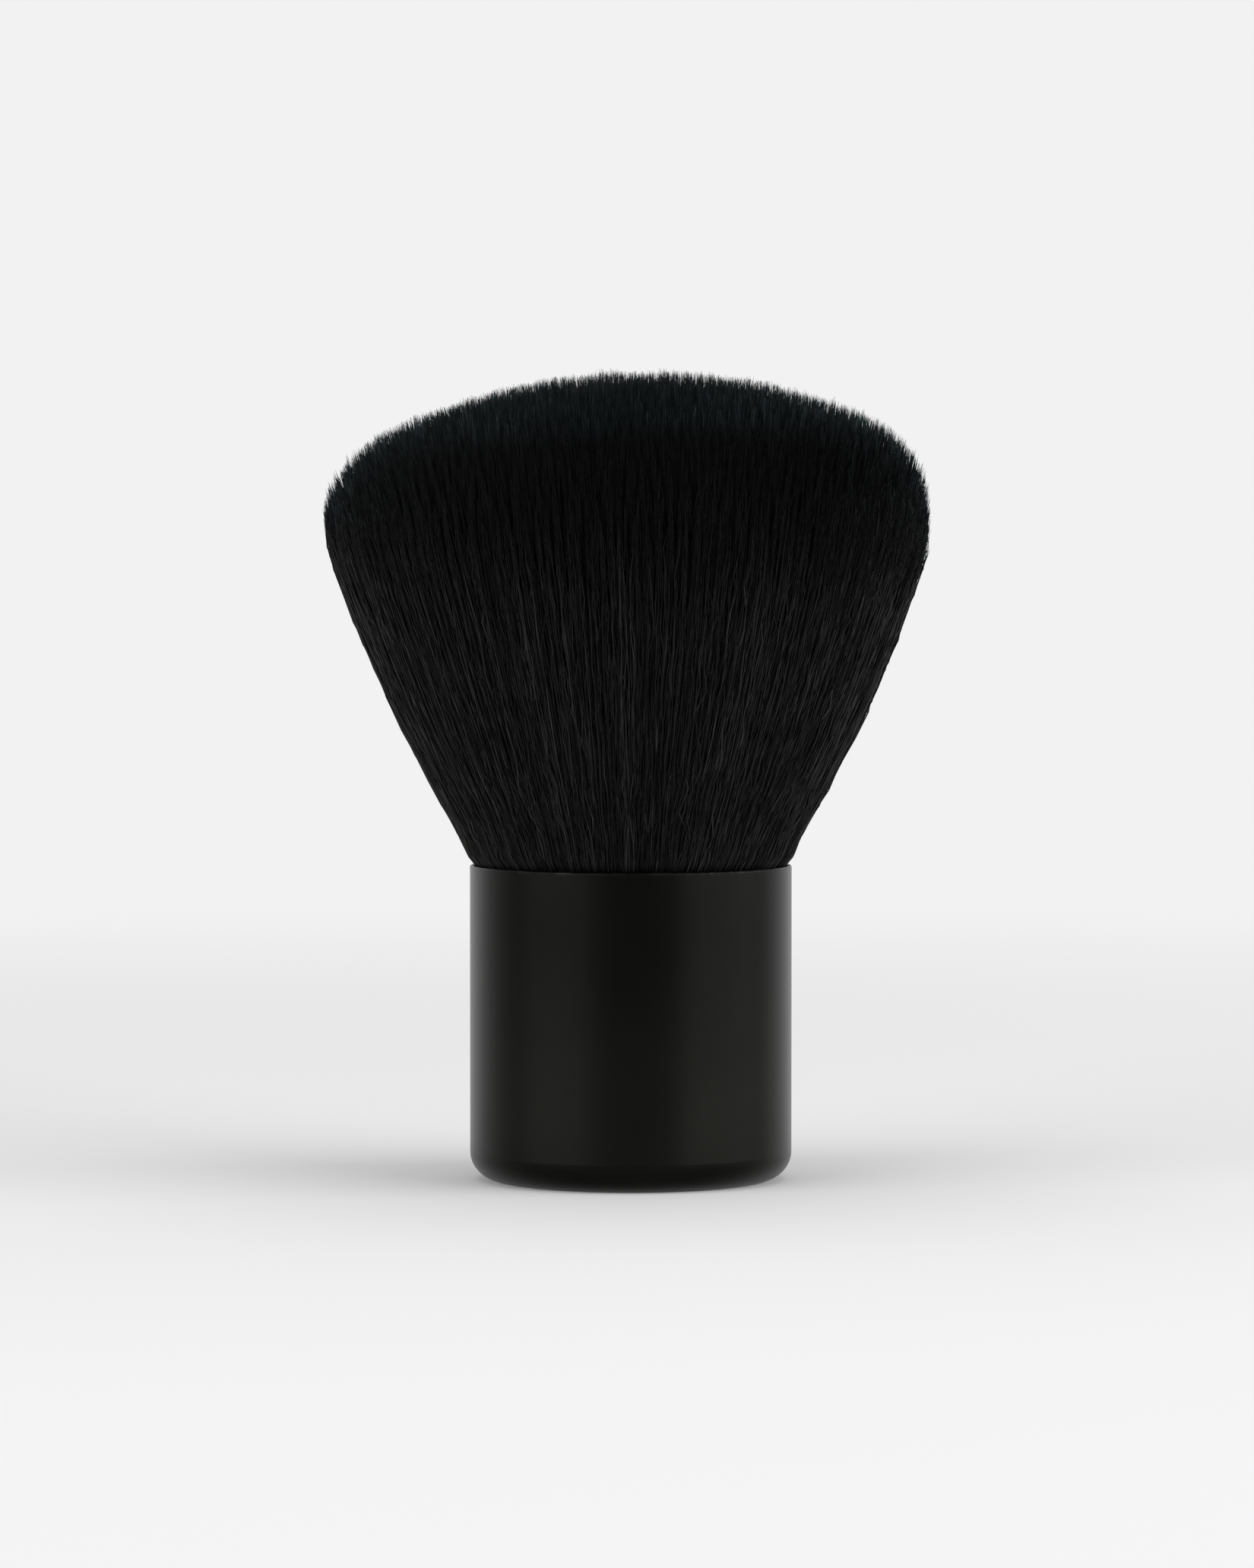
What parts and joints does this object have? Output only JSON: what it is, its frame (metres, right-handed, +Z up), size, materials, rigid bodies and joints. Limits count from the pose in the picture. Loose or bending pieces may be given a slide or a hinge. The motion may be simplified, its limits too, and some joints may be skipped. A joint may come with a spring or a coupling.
{
  "type": "kabuki makeup brush",
  "caption": "Short makeup brush with a round black metal handle cup and a dense, flared and domed head of dark bristles, which dusts powder on and flexes sideways.",
  "frame": {"origin": "middle of the flat base of the handle, where the brush stands", "axes": "+Z up the axis of the brush from the base to the bristle tips, +X to the right and -Y towards the viewer of the picture"},
  "size_m": [0.0528, 0.0528, 0.07],
  "materials": {
    "anodised_shell": "satin",
    "foam_pad": "matte",
    "weight_steel": "satin",
    "core_plastic": "matte",
    "seat_glue": "satin",
    "ferrule_metal": "satin",
    "root_resin": "gloss",
    "binding_thread": "satin",
    "bristle_fibre": "satin"
  },
  "bodies": {
    "handle": {"handle_shell": "anodised_shell", "weight_pad": "foam_pad", "base_weight": "weight_steel", "core_insert": "core_plastic", "seat_adhesive": "seat_glue", "tuft_ferrule": "ferrule_metal", "root_resin": "root_resin", "binding_thread": "binding_thread", "bristle_root": "bristle_fibre"},
    "flex_band": {"bristle_band": "bristle_fibre"},
    "brush_head": {"bristle_head": "bristle_fibre"}
  },
  "joints": [
    {"name": "bristle_nod", "type": "hinge", "parent": "handle", "child": "flex_band", "pos_m": [0, 0, 0.0264], "axis": [1, 0, 0], "range_deg": [-15, 15], "stiffness_Nm_per_rad": 0.1},
    {"name": "bristle_sway", "type": "hinge", "parent": "flex_band", "child": "brush_head", "pos_m": [0, 0, 0.0264], "axis": [0, 1, 0], "range_deg": [-15, 15], "stiffness_Nm_per_rad": 0.1}
  ]
}
